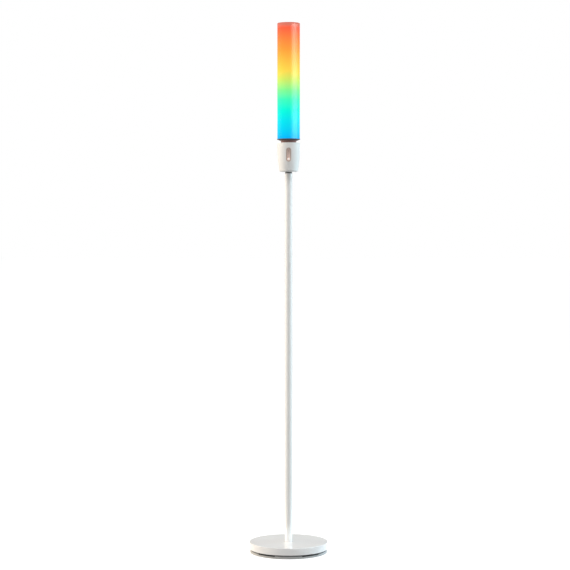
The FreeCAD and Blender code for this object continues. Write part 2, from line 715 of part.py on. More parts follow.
def board_parts():
    """Controller, regulator, coil and capacitor on the front of the board, beside the potentiometer."""
    controller = box(wide(8, 10), (BOARD_FRONT - 1.8, BOARD_FRONT), wide(10, BOARD_BOTTOM + 15))
    regulator = box(wide(6, -11), (BOARD_FRONT - 2.2, BOARD_FRONT), wide(6, BOARD_BOTTOM + 13))
    coil = box(wide(7, 10.5), (BOARD_FRONT - 3.5, BOARD_FRONT), wide(7, BOARD_BOTTOM + 30))
    coil = coil.makeFillet(1.0, edges_along(coil, V(0, 1, 0)))
    capacitor = rod_along_y(3.2, BOARD_FRONT - 7.5, BOARD_FRONT, -10.5, BOARD_BOTTOM + 28)
    return group((controller, regulator, coil, capacitor))


def board_sockets():
    """Two lead sockets on the rear of the board. Power enters from below, the light lead from above."""
    sockets = []
    for entry, side in ((POWER_ENTRY, 1), (LED_ENTRY, -1)):
        middle = entry.z + side * SOCKET_SIZE / 2
        sockets.append(box(wide(SOCKET_SIZE, entry.x), (BOARD_BACK, entry.y + 3), wide(SOCKET_SIZE, middle)))
    return group(sockets)


# ---------------------------------------------------------------- neck


def neck_ring():
    """A copper-coloured ring that flares towards the seat."""
    waist = (NECK_LOW_RADIUS + NECK_TOP_RADIUS) / 2 - NECK_HOLLOW
    body = turned((0, HOUSING_TOP), (NECK_LOW_RADIUS, HOUSING_TOP),
                  ((waist, HOUSING_TOP + NECK_HEIGHT / 2), (NECK_TOP_RADIUS, NECK_TOP)), (0, NECK_TOP))
    body = body.cut(cylinder(NECK_BORE_RADIUS, HOUSING_TOP, NECK_TOP))
    for x, y in neck_screw_places():
        body = body.cut(cylinder(NECK_SCREW.shank + SCREW_PLAY, HOUSING_TOP, NECK_TOP, x, y))
    return body


def neck_screws():
    """From under the lid, through the ring, into the seat."""
    tip = NECK_TOP + NECK_SCREW_IN_SEAT
    return group(screw(NECK_SCREW, x, y, LID_BOTTOM, tip) for x, y in neck_screw_places())


def core_screw_places():
    return [polar(CORE_SCREW_RADIUS, angle) for angle in CORE_SCREW_ANGLES]


def lamp_seat():
    """A dished seat whose conical underside comes down to the neck ring, with a spigot inside the tube."""
    spigot_outer = TUBE_INNER_RADIUS
    spigot_inner = spigot_outer - SEAT_SPIGOT_WALL
    spigot_top = SEAT_TOP + SEAT_SPIGOT_HEIGHT
    body = turned((0, NECK_TOP), (SEAT_CONE_RADIUS, NECK_TOP), (SEAT_RADIUS, SEAT_TOP - SEAT_RIM),
                  (SEAT_RADIUS, SEAT_TOP), (spigot_outer, SEAT_TOP), (spigot_outer, spigot_top),
                  (spigot_inner, spigot_top), (spigot_inner, SEAT_FLOOR_TOP), (0, SEAT_FLOOR_TOP))
    body = rounded(body, 0.4, (SEAT_RADIUS, SEAT_TOP))
    body = body.cut(cylinder(LID_HOLE_RADIUS, NECK_TOP, SEAT_FLOOR_TOP))
    for x, y in neck_screw_places():
        body = body.cut(cylinder(NECK_SCREW.shank, NECK_TOP, NECK_TOP + NECK_SCREW_IN_SEAT, x, y))
    for x, y in core_screw_places():
        tip = SEAT_FLOOR_TOP - CORE_SCREW_IN_SEAT
        body = body.cut(cylinder(BOARD_SCREW.shank, tip, SEAT_FLOOR_TOP, x, y))
    return body


# ---------------------------------------------------------------- light tube


def diffuser_tube():
    return ring(TUBE_RADIUS, TUBE_INNER_RADIUS, SEAT_TOP, TUBE_TOP)


def diffuser_cap():
    """The end disc, with a ring that plugs into the tube."""
    cap = rounded(cylinder(TUBE_RADIUS, TUBE_TOP, LAMP_TOP), CAP_ROUND, (TUBE_RADIUS, LAMP_TOP))
    plug_bottom = TUBE_TOP - CAP_SPIGOT_HEIGHT
    plug = ring(TUBE_INNER_RADIUS, TUBE_INNER_RADIUS - CAP_SPIGOT_WALL, plug_bottom, TUBE_TOP)
    return cap.fuse(plug).removeSplitter()


def square_bar(width, low, high):
    return box(wide(width), wide(width), (low, high))


def led_core():
    """The square tube that carries the light strips and takes their heat."""
    tube = square_bar(CORE_WIDTH, CORE_BASE_TOP, CORE_TOP)
    return tube.cut(square_bar(CORE_INNER, CORE_BASE_TOP, CORE_TOP))


def core_base():
    """A round foot with a square plug that fills the lower end of the core, bored for the lead."""
    plug_top = CORE_BASE_TOP + CORE_PLUG_HEIGHT
    body = cylinder(CORE_BASE_RADIUS, SEAT_FLOOR_TOP, CORE_BASE_TOP)
    body = body.fuse(square_bar(CORE_INNER, CORE_BASE_TOP, plug_top))
    for x, y in core_screw_places():
        body = body.cut(cylinder(BOARD_SCREW.shank + SCREW_PLAY, SEAT_FLOOR_TOP, CORE_BASE_TOP, x, y))
    return body.cut(cylinder(LED_LEAD_RADIUS, SEAT_FLOOR_TOP, plug_top))


def core_screws():
    return group(screw(BOARD_SCREW, x, y, CORE_BASE_TOP, SEAT_FLOOR_TOP - CORE_SCREW_IN_SEAT)
                 for x, y in core_screw_places())


def core_spacer():
    """Closes the top of the core and centres it in the tube."""
    plug = square_bar(CORE_INNER, CORE_TOP - SPACER_PLUG, CORE_TOP)
    return plug.fuse(cylinder(TUBE_INNER_RADIUS - SPACER_GAP, CORE_TOP, CORE_TOP + SPACER_THICKNESS))


def round_the_core(shape):
    """One copy of a shape for each of the four faces of the core."""
    copies = []
    for quarter in range(4):
        copy = shape.copy()
        copy.rotate(CENTRE, AXIS, 90 * quarter)
        copies.append(copy)
    return copies


def strip_range():
    return CORE_BASE_TOP + STRIP_END_GAP, CORE_TOP - STRIP_END_GAP


def led_strips():
    face = -CORE_WIDTH / 2
    return group(round_the_core(box(wide(STRIP_WIDTH), (face - STRIP_THICKNESS, face), strip_range())))


def led_chips():
    front = -CORE_WIDTH / 2 - STRIP_THICKNESS
    low, high = strip_range()
    pitch = (high - low) / CHIPS_PER_STRIP
    chips = []
    for index in range(CHIPS_PER_STRIP):
        middle = low + (index + 0.5) * pitch
        chip = box(wide(CHIP_SIZE), (front - CHIP_HEIGHT, front), wide(CHIP_SIZE, middle))
        chips += round_the_core(chip)
    return group(chips)


# ---------------------------------------------------------------- leads


def power_lead():
    """From the inlet, under the ballast, up through the pole and over to the board."""
    tail = JACK_BACK - JACK_TAIL
    under_ballast = (PLATE_TOP + BALLAST_BOTTOM) / 2
    points = [V(0, tail, JACK_HEIGHT), V(0, tail - 8, JACK_HEIGHT), V(0, tail - 22, under_ballast),
              V(0, 0, under_ballast), V(0, 0, HEAD_STUD_TOP + STRAIGHT_AT_SOCKET),
              POWER_ENTRY - AXIS * STRAIGHT_AT_SOCKET, POWER_ENTRY]
    return lead(points, (BASE_BEND, BASE_BEND, BASE_BEND, HEAD_BEND, HEAD_BEND), POWER_LEAD_RADIUS)


def led_lead():
    """From the board up through the lid and the neck to the foot of the core."""
    points = [LED_ENTRY, LED_ENTRY + AXIS * STRAIGHT_AT_SOCKET, V(0, 0, FLANGE_BOTTOM),
              V(0, 0, CORE_BASE_TOP)]
    return lead(points, (LED_BEND, LED_BEND), LED_LEAD_RADIUS)


# ---------------------------------------------------------------- parts

PARTS = {
    "base_shell": base_shell,
    "ballast_plate": ballast_plate,
    "bottom_plate": bottom_plate,
    "foot_ring": foot_ring,
    "bottom_screws": bottom_screws,
    "base_stud": base_stud,
    "base_washer": base_washer,
    "base_nut": base_nut,
    "dc_jack": dc_jack,
    "jack_contacts": jack_contacts,
    "jack_nut": jack_nut,
    "pole_lower": lambda: pole_section(0),
    "pole_middle": lambda: pole_section(1),
    "pole_upper": lambda: pole_section(2),
    "pole_sockets": pole_sockets,
    "pole_spigots": pole_spigots,
    "pole_collar": pole_collar,
    "head_stud": head_stud,
    "head_washer": head_washer,
    "head_nut": head_nut,
    "housing_shell": housing_shell,
    "housing_lid": housing_lid,
    "housing_screws": housing_screws,
    "slot_bezel": slot_bezel,
    "slider_knob": slider_knob,
    "slider_lever": slider_lever,
    "slider_wiper": slider_wiper,
    "slide_potentiometer": slide_potentiometer,
    "resistor_track": resistor_track,
    "control_board": control_board,
    "board_frame": board_frame,
    "board_screws": board_screws,
    "frame_screws": frame_screws,
    "board_parts": board_parts,
    "board_sockets": board_sockets,
    "neck_ring": neck_ring,
    "neck_screws": neck_screws,
    "lamp_seat": lamp_seat,
    "diffuser_tube": diffuser_tube,
    "diffuser_cap": diffuser_cap,
    "led_core": led_core,
    "core_base": core_base,
    "core_screws": core_screws,
    "core_spacer": core_spacer,
    "led_strips": led_strips,
    "led_chips": led_chips,
    "power_lead": power_lead,
    "led_lead": led_lead,
}


def main():
    os.makedirs("parts", exist_ok=True)
    for name, make in PARTS.items():
        shape = make()
        if not shape.isValid():
            raise ValueError(f"{name} is not a valid shape")
        print(f"{name}: {len(shape.Solids)} solids, {shape.Volume:.0f} cubic mm")
        shape.exportStep(f"parts/{name}.step")


main()
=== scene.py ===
import json
import math

import bmesh
import bpy
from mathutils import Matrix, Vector


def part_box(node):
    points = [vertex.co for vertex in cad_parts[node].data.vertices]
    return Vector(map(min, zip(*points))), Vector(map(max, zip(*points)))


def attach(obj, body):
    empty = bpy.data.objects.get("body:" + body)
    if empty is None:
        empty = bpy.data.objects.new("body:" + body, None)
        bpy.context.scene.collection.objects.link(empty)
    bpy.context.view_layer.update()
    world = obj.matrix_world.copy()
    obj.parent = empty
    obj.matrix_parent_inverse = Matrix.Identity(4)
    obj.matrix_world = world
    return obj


# A floor lamp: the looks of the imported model, three details too fine for its solids, and a plain studio.
# Metres, Z up. The front, with the slider, faces -Y.

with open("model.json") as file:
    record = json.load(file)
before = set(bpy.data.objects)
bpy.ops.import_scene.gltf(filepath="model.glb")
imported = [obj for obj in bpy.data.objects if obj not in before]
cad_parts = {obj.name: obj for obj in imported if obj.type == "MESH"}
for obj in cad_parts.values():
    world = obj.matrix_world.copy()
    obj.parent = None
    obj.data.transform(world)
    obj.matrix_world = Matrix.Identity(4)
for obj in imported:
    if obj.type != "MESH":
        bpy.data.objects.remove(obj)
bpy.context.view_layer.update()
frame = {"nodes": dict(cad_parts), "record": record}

# ---------------------------------------------------------------- node helpers


def empty_tree(owner):
    """Turns on the nodes of a material or world and empties them. Returns its nodes and its links."""
    owner.use_nodes = True
    owner.node_tree.nodes.clear()
    return owner.node_tree.nodes, owner.node_tree.links


def new_material(name):
    """A material with one Principled shader. Returns the material, its nodes, its links and the shader."""
    material = bpy.data.materials.new(name)
    nodes, links = empty_tree(material)
    output = nodes.new("ShaderNodeOutputMaterial")
    shader = nodes.new("ShaderNodeBsdfPrincipled")
    links.new(shader.outputs["BSDF"], output.inputs["Surface"])
    return material, nodes, links, shader


def set_inputs(node, values):
    """Sets sockets of a node, by their names."""
    for name, value in values.items():
        node.inputs[name].default_value = value


def coordinates(nodes, kind):
    return nodes.new("ShaderNodeTexCoord").outputs[kind]


def component(nodes, links, vector, axis):
    """One axis of a vector: "X", "Y" or "Z"."""
    axes = nodes.new("ShaderNodeSeparateXYZ")
    links.new(vector, axes.inputs["Vector"])
    return axes.outputs[axis]


def noise(nodes, links, vector, scale, detail, roughness=0.5):
    texture = nodes.new("ShaderNodeTexNoise")
    set_inputs(texture, {"Scale": scale, "Detail": detail, "Roughness": roughness})
    links.new(vector, texture.inputs["Vector"])
    return texture.outputs["Fac"]


def ramp(nodes, links, factor, stops):
    """A colour ramp. Each stop is a position and a linear colour."""
    node = nodes.new("ShaderNodeValToRGB")
    elements = node.color_ramp.elements
    elements[0].position, elements[0].color = stops[0][0], (*stops[0][1], 1)
    elements[1].position, elements[1].color = stops[-1][0], (*stops[-1][1], 1)
    for position, colour in stops[1:-1]:
        elements.new(position).color = (*colour, 1)
    links.new(factor, node.inputs["Fac"])
    return node.outputs["Color"]


def value_range(nodes, links, factor, target, source=(0.0, 1.0)):
    """Carries a value from the range `source` to the range `target`."""
    node = nodes.new("ShaderNodeMapRange")
    set_inputs(node, {"From Min": source[0], "From Max": source[1], "To Min": target[0], "To Max": target[1]})
    links.new(factor, node.inputs["Value"])
    return node.outputs["Result"]


def bump(nodes, links, shader, height, strength, distance):
    node = nodes.new("ShaderNodeBump")
    set_inputs(node, {"Strength": strength, "Distance": distance})
    links.new(height, node.inputs["Height"])
    links.new(node.outputs["Normal"], shader.inputs["Normal"])


def tinted(colour, amount):
    return tuple(c * amount for c in colour)


# ---------------------------------------------------------------- painted, moulded and metal surfaces

# slow patches in the colour of every surface
PATCH_SCALE, PATCH_DETAIL, PATCH_ROUGHNESS = 14.0, 4.0, 0.6
PATCH_STOPS = (0.3, 0.7)
# fine grain in its relief and its gloss
GRAIN_DETAIL, GRAIN_ROUGHNESS = 3.0, 0.55
GRAIN_STRENGTH = 0.35
GLOSS_SPREAD = 0.12
# how rough the clear coat is, where there is one
COAT_ROUGHNESS = 0.07

# `grain` is its noise scale and its depth in metres, and `spread` how far the patches leave the colour.
SURFACES = {
    # finishes of the record's slots
    "white_plastic": dict(colour=(0.74, 0.735, 0.725), roughness=0.42, grain=(1500.0, 0.00003), spread=0.012),
    "black_plastic": dict(colour=(0.012, 0.012, 0.013), roughness=0.5, grain=(1300.0, 0.00005), spread=0.1),
    "dark_plastic": dict(colour=(0.075, 0.076, 0.082), roughness=0.5, grain=(1300.0, 0.00004), spread=0.06),
    "ballast_iron": dict(colour=(0.16, 0.16, 0.17), roughness=0.7, grain=(260.0, 0.0004), metallic=0.7,
                         spread=0.2),
    "zinc_steel": dict(colour=(0.55, 0.55, 0.53), roughness=0.32, grain=(800.0, 0.00003), metallic=1.0,
                       spread=0.05),
    "contact_metal": dict(colour=(0.75, 0.6, 0.32), roughness=0.25, grain=(800.0, 0.00002), metallic=1.0),
    "board_green": dict(colour=(0.02, 0.14, 0.06), roughness=0.35, grain=(600.0, 0.00003), coat=0.5,
                        spread=0.1),
    "bare_aluminium": dict(colour=(0.7, 0.7, 0.71), roughness=0.35, grain=(900.0, 0.00003), metallic=1.0),
    "strip_white": dict(colour=(0.82, 0.82, 0.8), roughness=0.45, grain=(900.0, 0.00002)),
    "led_yellow": dict(colour=(0.82, 0.7, 0.16), roughness=0.3, grain=(900.0, 0.00002)),
    "lead_black": dict(colour=(0.02, 0.02, 0.02), roughness=0.45, grain=(900.0, 0.00003), spread=0.1),
    "knob_white": dict(colour=(0.92, 0.81, 0.76), roughness=0.3, grain=(1500.0, 0.00001), spread=0.01),
    # one powder coat in two tones: darker as painted shade on the turned base, under a clear coat that
    # mirrors the pole, and lighter as painted light on the pole's thin tubes
    "white_paint_base_painted_shade": dict(colour=(0.744, 0.732, 0.729), roughness=0.4, grain=(900.0, 0.00001), coat=1.0,
                             coat_ior=1.75, spread=0.012),
    "white_paint_pole_painted_light": dict(colour=(0.81, 0.805, 0.795), roughness=0.34, grain=(900.0, 0.00003),
                             spread=0.012),
    # the collar between pole and housing, dark grey plastic whose darkness is partly painted shade for the
    # housing's shadow on the pole's top, and the soft lips in the slider's slit
    "collar_plastic_painted_shade": dict(colour=(0.15, 0.15, 0.155), roughness=0.5, grain=(1300.0, 0.00004), spread=0.06),
    "lip_rubber": dict(colour=(0.86, 0.67, 0.61), roughness=0.6, grain=(900.0, 0.00004)),
}

# painted light: the knob glows faintly, though it is no lamp
KNOB_PAINTED_GLOW = {"Emission Color": (1.0, 0.82, 0.76, 1), "Emission Strength": 0.33}


def surface(name, colour, roughness, grain, metallic=0.0, coat=0.0, coat_ior=1.5, spread=0.04):
    """A finish with fine grain in its relief, faint patches in its colour and patchy roughness."""
    material, nodes, links, shader = new_material(name)
    place = coordinates(nodes, "Object")
    patches = noise(nodes, links, place, PATCH_SCALE, PATCH_DETAIL, PATCH_ROUGHNESS)
    tones = (tinted(colour, 1 - spread), tinted(colour, 1 + spread))
    links.new(ramp(nodes, links, patches, list(zip(PATCH_STOPS, tones))), shader.inputs["Base Color"])
    scale, depth = grain
    relief = noise(nodes, links, place, scale, GRAIN_DETAIL, GRAIN_ROUGHNESS)
    gloss = (roughness * (1 - GLOSS_SPREAD), roughness * (1 + GLOSS_SPREAD))
    links.new(value_range(nodes, links, relief, gloss), shader.inputs["Roughness"])
    bump(nodes, links, shader, relief, GRAIN_STRENGTH, depth)
    set_inputs(shader, {"Metallic": metallic, "Coat Weight": coat, "Coat Roughness": COAT_ROUGHNESS,
                        "Coat IOR": coat_ior})
    return material


# ---------------------------------------------------------------- copper with painted shade, and surfaces with painted shade and light

# the neck ring's turning lines: noise drawn out round the vertical axis
TURNING_SCALE = (60.0, 60.0, 4000.0)
TURNING_DETAIL = 2.0
TURNING_STOPS = (0.2, 0.8)
TURNING_BUMP = (0.2, 0.00002)
# painted shade: these coppers are darker than the bezel's, for the shade under the lamp seat
NECK_SHADED_COPPERS = ((0.28, 0.152, 0.135), (0.345, 0.195, 0.173))
NECK_ROUGHNESS = (0.42, 0.5)
NECK_METALLIC = 0.35

# places along `axis` where the first tone ends and the second begins, in parts of `span`
SHADE_AND_LIGHT_STOPS = (0.2, 0.9)
SHADE_AND_LIGHT_DETAIL = 3.0
SHADE_AND_LIGHT_STRENGTH = 0.2
SHADE_AND_LIGHT_TONES = {
    # the bezel: painted shade darkens its rim, and painted light brightens the floor deep in its channel
    "copper_painted_shade_and_light": dict(axis="Y", span=(-0.0306, -0.0273), roughness=(0.42, 0.52), metallic=0.3,
                           tones=((0.50, 0.395, 0.35), (0.84, 0.675, 0.605)), grain=(1400.0, 0.00002)),
    # the foot ring: grey rubber, with painted shade at the top of the lugs, just under the base
    "rubber_painted_shade": dict(axis="Z", span=(0.0062, 0.0070), roughness=(0.66, 0.84), metallic=0.0,
                        tones=((0.50, 0.495, 0.49), (0.15, 0.15, 0.15)), grain=(700.0, 0.00012)),
}


def turned_copper(name):
    """Satin rose-copper finish with fine turning lines round the vertical axis, in coppers darkened as
    painted shade.
    """
    material, nodes, links, shader = new_material(name)
    stretch = nodes.new("ShaderNodeMapping")
    set_inputs(stretch, {"Scale": TURNING_SCALE})
    links.new(coordinates(nodes, "Object"), stretch.inputs["Vector"])
    lines = noise(nodes, links, stretch.outputs["Vector"], 1.0, TURNING_DETAIL)
    links.new(ramp(nodes, links, lines, list(zip(TURNING_STOPS, NECK_SHADED_COPPERS))), shader.inputs["Base Color"])
    links.new(value_range(nodes, links, lines, NECK_ROUGHNESS), shader.inputs["Roughness"])
    bump(nodes, links, shader, lines, *TURNING_BUMP)
    set_inputs(shader, {"Metallic": NECK_METALLIC})
    return material


def shade_and_light_tones(name, axis, span, tones, roughness, metallic, grain):
    """A finish whose colour goes from one tone to another along one axis, between the two places in `span`:
    painted shade and light.
    """
    material, nodes, links, shader = new_material(name)
    place = coordinates(nodes, "Object")
    share = value_range(nodes, links, component(nodes, links, place, axis), (0.0, 1.0), span)
    # painted shade and light: the colour moves from one tone to the other along the axis
    links.new(ramp(nodes, links, share, list(zip(SHADE_AND_LIGHT_STOPS, tones))), shader.inputs["Base Color"])
    scale, depth = grain
    relief = noise(nodes, links, place, scale, SHADE_AND_LIGHT_DETAIL)
    links.new(value_range(nodes, links, relief, roughness), shader.inputs["Roughness"])
    bump(nodes, links, shader, relief, SHADE_AND_LIGHT_STRENGTH, depth)
    set_inputs(shader, {"Metallic": metallic})
    return material


# ---------------------------------------------------------------- the lit tube

# height along the tube, 0 at its foot and 1 at its top, and the colour that shows there
TUBE_GRADIENT = (
    (0.00, (0.001, 0.46, 1.00)),
    (0.05, (0.001, 0.60, 0.93)),
    (0.16, (0.001, 0.78, 0.86)),
    (0.25, (0.002, 0.94, 0.70)),
    (0.34, (0.05, 0.98, 0.50)),
    (0.42, (0.22, 0.94, 0.29)),
    (0.51, (0.62, 0.82, 0.135)),
    (0.60, (1.00, 0.66, 0.075)),
    (0.77, (1.00, 0.355, 0.048)),
    (0.94, (1.00, 0.15, 0.055)),
    (0.962, (1.00, 0.13, 0.055)),
    (0.978, (0.90, 0.155, 0.09)),
    (0.990, (0.72, 0.19, 0.13)),
    (1.00, (0.72, 0.19, 0.13)),
)
# how much of that colour the acrylic gives off, and how much of it is painted light in the acrylic's own
# colour
TUBE_GLOW = 0.78
CAP_GLOW = TUBE_GLOW * 0.9
PAINTED_LIGHT_SHARE = 0.30
TUBE_ROUGHNESS = 0.24
CAP_ROUGHNESS = 0.45
FROST_SCALE, FROST_DETAIL = 2600.0, 2.0
FROST_SPREAD = 0.1
FROST_BUMP = (0.12, 0.00002)
ACRYLIC = {"Emission Strength": 1.0, "Coat Weight": 0.45, "Coat IOR": 1.3, "Coat Roughness": 0.27,
           "Specular IOR Level": 0.0}


def lit_acrylic(name, glow, roughness):
    """Frosted acrylic, lit from inside in a gradient that runs up the tube, with the same gradient weaker in
    its colour as painted light.
    """
    low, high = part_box("diffuser_tube")
    material, nodes, links, shader = new_material(name)
    place = coordinates(nodes, "Object")
    height = value_range(nodes, links, component(nodes, links, place, "Z"), (0.0, 1.0), (low.z, high.z))
    # the glow, and painted light: the same gradient as the acrylic's base colour
    for socket, amount in (("Emission Color", glow), ("Base Color", PAINTED_LIGHT_SHARE)):
        colour = ramp(nodes, links, height, [(position, tinted(c, amount)) for position, c in TUBE_GRADIENT])
        links.new(colour, shader.inputs[socket])
    frost = noise(nodes, links, place, FROST_SCALE, FROST_DETAIL)
    gloss = (roughness * (1 - FROST_SPREAD), roughness * (1 + FROST_SPREAD))
    links.new(value_range(nodes, links, frost, gloss), shader.inputs["Roughness"])
    bump(nodes, links, shader, frost, *FROST_BUMP)
    set_inputs(shader, ACRYLIC)
    return material


# ---------------------------------------------------------------- finishes on the CAD nodes

# nodes whose finish isn't their slot's own
NODE_FINISHES = {
    "base_shell": "white_paint_base_painted_shade",
    "foot_ring": "rubber_painted_shade",
    "pole_lower": "white_paint_pole_painted_light",
    "pole_middle": "white_paint_pole_painted_light",
    "pole_upper": "white_paint_pole_painted_light",
    "pole_collar": "collar_plastic_painted_shade",
    "slot_bezel": "copper_painted_shade_and_light",
    "neck_ring": "copper_neck_painted_shade",
}


def make_finishes():
    """Makes every material of the object, and returns them by name."""
    finishes = {name: surface(name, **look) for name, look in SURFACES.items()}
    finishes.update({name: shade_and_light_tones(name, **look) for name, look in SHADE_AND_LIGHT_TONES.items()})
    finishes["copper_neck_painted_shade"] = turned_copper("copper_neck_painted_shade")
    finishes["diffuser"] = lit_acrylic("diffuser", TUBE_GLOW, TUBE_ROUGHNESS)
    finishes["diffuser_end"] = lit_acrylic("diffuser_end", CAP_GLOW, CAP_ROUGHNESS)
    # painted light: a faint glow on the white knob
    set_inputs(finishes["knob_white"].node_tree.nodes["Principled BSDF"], KNOB_PAINTED_GLOW)
    return finishes


def dress_nodes(finishes):
    """Gives every CAD node the finish of NODE_FINISHES, or else that of its slot in the record."""
    for part in frame["record"]["subparts"]:
        node = part["node"]
        materials = frame["nodes"][node].data.materials
        materials.clear()
        materials.append(finishes[NODE_FINISHES.get(node, part["material_slot"])])


# ---------------------------------------------------------------- modelled details


def lofted(build, rings):
    """Skins a row of point rings that have the same number of points, and closes both ends."""
    rows = [[build.verts.new(point) for point in points] for points in rings]
    count = len(rows[0])
    for row, following in zip(rows, rows[1:]):
        for i in range(count):
            j = (i + 1) % count
            build.faces.new((row[i], row[j], following[j], following[i]))
    build.faces.new(rows[0])
    build.faces.new(list(reversed(rows[-1])))


def new_piece(name, forms, material, body):
    """Lofts a mesh piece from its forms' rings, gives it its material and slot, and fixes it to a body."""
    mesh = bpy.data.meshes.new(name)
    build = bmesh.new()
    for rings in forms:
        lofted(build, rings)
    bmesh.ops.recalc_face_normals(build, faces=build.faces)
    build.to_mesh(mesh)
    build.free()
    for face in mesh.polygons:
        face.use_smooth = True
    mesh.materials.append(material)
    piece = bpy.data.objects.new(name, mesh)
    bpy.context.scene.collection.objects.link(piece)
    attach(piece, body)
    return piece


# the slit in the floor of the bezel's channel: half its length and width
SLIT_HALF_LENGTH = 0.014
SLIT_HALF_WIDTH = 0.0015
# its lips: how far their front and back lie in front of the bezel's back, half the gap between them, and how
# far they reach past the slit's sides
LIP_FRONT = 0.0017
LIP_BACK = 0.0005
LIP_GAP = 0.00012
LIP_OVERLAP = 0.0002
# the rounding of their front edge at the gap, the steps in it, and the angle from which an edge stays sharp
LIP_ROUND = 0.0003
LIP_STEPS = 6
LIP_CREASE = math.radians(35)


def lip_section(side, bezel_back):
    """A lip's outline in X and Y. Side -1 is the left lip, and 1 the right one."""
    outer = side * (SLIT_HALF_WIDTH + LIP_OVERLAP)
    inner = side * LIP_GAP
    front, back = bezel_back - LIP_FRONT, bezel_back - LIP_BACK
    section = [(outer, front)]
    for step in range(LIP_STEPS + 1):
        turn = math.radians(90 * step / LIP_STEPS)
        section.append((inner + side * LIP_ROUND * (1 - math.sin(turn)),
                        front + LIP_ROUND * (1 - math.cos(turn))))
    return section + [(inner, back), (outer, back)]


def slit_lips(material):
    """Two soft lips that close the slit in the bezel on both sides of the lever. The slit is level with the
    potentiometer behind it."""
    low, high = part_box("slide_potentiometer")
    middle = (low.z + high.z) / 2
    ends = (middle - SLIT_HALF_LENGTH, middle + SLIT_HALF_LENGTH)
    bezel_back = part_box("slot_bezel")[1].y
    for side, name in ((-1, "slit_lip_left"), (1, "slit_lip_right")):
        rings = [[(x, y, z) for x, y in lip_section(side, bezel_back)] for z in ends]
        lip = new_piece(name, [rings], material, "stand")
        lip.data.set_sharp_from_angle(angle=LIP_CREASE)


# ridges on the knob: half the length of each from the lowest up, their spacing, and their round section
RIDGE_HALF_LENGTHS = (0.0016, 0.0020, 0.0016)
RIDGE_PITCH = 0.00125
RIDGE_RADIUS = 0.00032
RIDGE_SIDES = 12
# how deep the ridges' axes lie in the knob's face, and the rings in each tapered end
RIDGE_SUNK = 0.00012
RIDGE_RINGS = 5


def ridge_rings(half_length, face, height):
    """The rings of one ridge, whose axis runs along X at Y `face` and Z `height`."""
    turns = [math.radians(90 * (ring + 0.5) / RIDGE_RINGS) for ring in range(RIDGE_RINGS)]
    sizes = [RIDGE_RADIUS * math.sin(turn) for turn in turns]
    steps = [(size - half_length, size) for size in sizes]
    steps += [(half_length - size, size) for size in reversed(sizes)]
    angles = [2 * math.pi * side / RIDGE_SIDES for side in range(RIDGE_SIDES)]
    return [[(x, face - size * math.sin(angle), height + size * math.cos(angle)) for angle in angles]
            for x, size in steps]


def knob_ridges(material):
    """Three fine grip ridges across the face of the knob, with tapered ends."""
    low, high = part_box("slider_knob")
    middle = (low.z + high.z) / 2
    ridges = [ridge_rings(half_length, low.y + RIDGE_SUNK, middle + (row - 1) * RIDGE_PITCH)
              for row, half_length in enumerate(RIDGE_HALF_LENGTHS)]
    new_piece("knob_ridges", ridges, material, "slider")


# ---------------------------------------------------------------- floor and world

FLOOR_HALF = 40.0
# the floor's colour for the light that it throws back
FLOOR_ALBEDO = 0.34
# what is seen of it: how much it gives back of the light on it, which holds the shadow, and the glow that
# brings it to white
FLOOR_SHOWN_SHARE = 0.45
FLOOR_GLOW = 0.745

# the even light on surfaces: how far up it comes from, and its strength
AMBIENT = ((0.1, 0.56), (0.9, 0.585))
# what gloss shows instead, from the floor up and from front to back: a white backdrop, greyer at the ceiling,
# and a dark room in front
BACKDROP = ((0.150, 1.0), (0.175, 0.46))
ROOM = ((0.38, 0.03), (0.50, 0.35), (0.62, 0.8), (0.72, 1.0))


def shown_rays(nodes, links):
    """1 for camera, glossy and transmission rays, 0 for those that carry light from surface to surface."""
    path = nodes.new("ShaderNodeLightPath")
    factor = path.outputs["Is Camera Ray"]
    for name in ("Is Glossy Ray", "Is Transmission Ray"):
        larger = nodes.new("ShaderNodeMath")
        larger.operation = "MAXIMUM"
        links.new(factor, larger.inputs[0])
        links.new(path.outputs[name], larger.inputs[1])
        factor = larger.outputs["Value"]
    return factor


def mixed_shaders(nodes, links, factor, first, second):
    node = nodes.new("ShaderNodeMixShader")
    links.new(factor, node.inputs["Fac"])
    links.new(first, node.inputs[1])
    links.new(second, node.inputs[2])
    return node.outputs["Shader"]


def grey_diffuse(nodes, level):
    node = nodes.new("ShaderNodeBsdfDiffuse")
    set_inputs(node, {"Color": (level, level, level, 1)})
    return node.outputs["BSDF"]


def floor_material():
    """Pale floor. Where it is seen it glows up to white and keeps the object's shadow."""
    material = bpy.data.materials.new("studio_floor")
    nodes, links = empty_tree(material)
    output = nodes.new("ShaderNodeOutputMaterial")
    plain = grey_diffuse(nodes, FLOOR_ALBEDO)
    glow = nodes.new("ShaderNodeEmission")
    set_inputs(glow, {"Strength": FLOOR_GLOW})
    seen = nodes.new("ShaderNodeAddShader")
    links.new(grey_diffuse(nodes, FLOOR_SHOWN_SHARE), seen.inputs[0])
    links.new(glow.outputs["Emission"], seen.inputs[1])
    chosen = mixed_shaders(nodes, links, shown_rays(nodes, links), plain, seen.outputs["Shader"])
    links.new(chosen, output.inputs["Surface"])
    return material


def add_floor():
    corners = [(x * FLOOR_HALF, y * FLOOR_HALF, 0) for x, y in ((-1, -1), (1, -1), (1, 1), (-1, 1))]
    mesh = bpy.data.meshes.new("studio_floor")
    mesh.from_pydata(corners, [], [(0, 1, 2, 3)])
    mesh.materials.append(floor_material())
    floor = bpy.data.objects.new("studio_floor", mesh)
    bpy.context.scene.collection.objects.link(floor)


def grey_ramp(nodes, links, factor, stops):
    return ramp(nodes, links, factor, [(position, (level, level, level)) for position, level in stops])


def background(nodes, links, colour=None):
    """A background of a linked colour, or white."""
    node = nodes.new("ShaderNodeBackground")
    set_inputs(node, {"Color": (1, 1, 1, 1)})
    if colour:
        links.new(colour, node.inputs["Color"])
    return node.outputs["Background"]


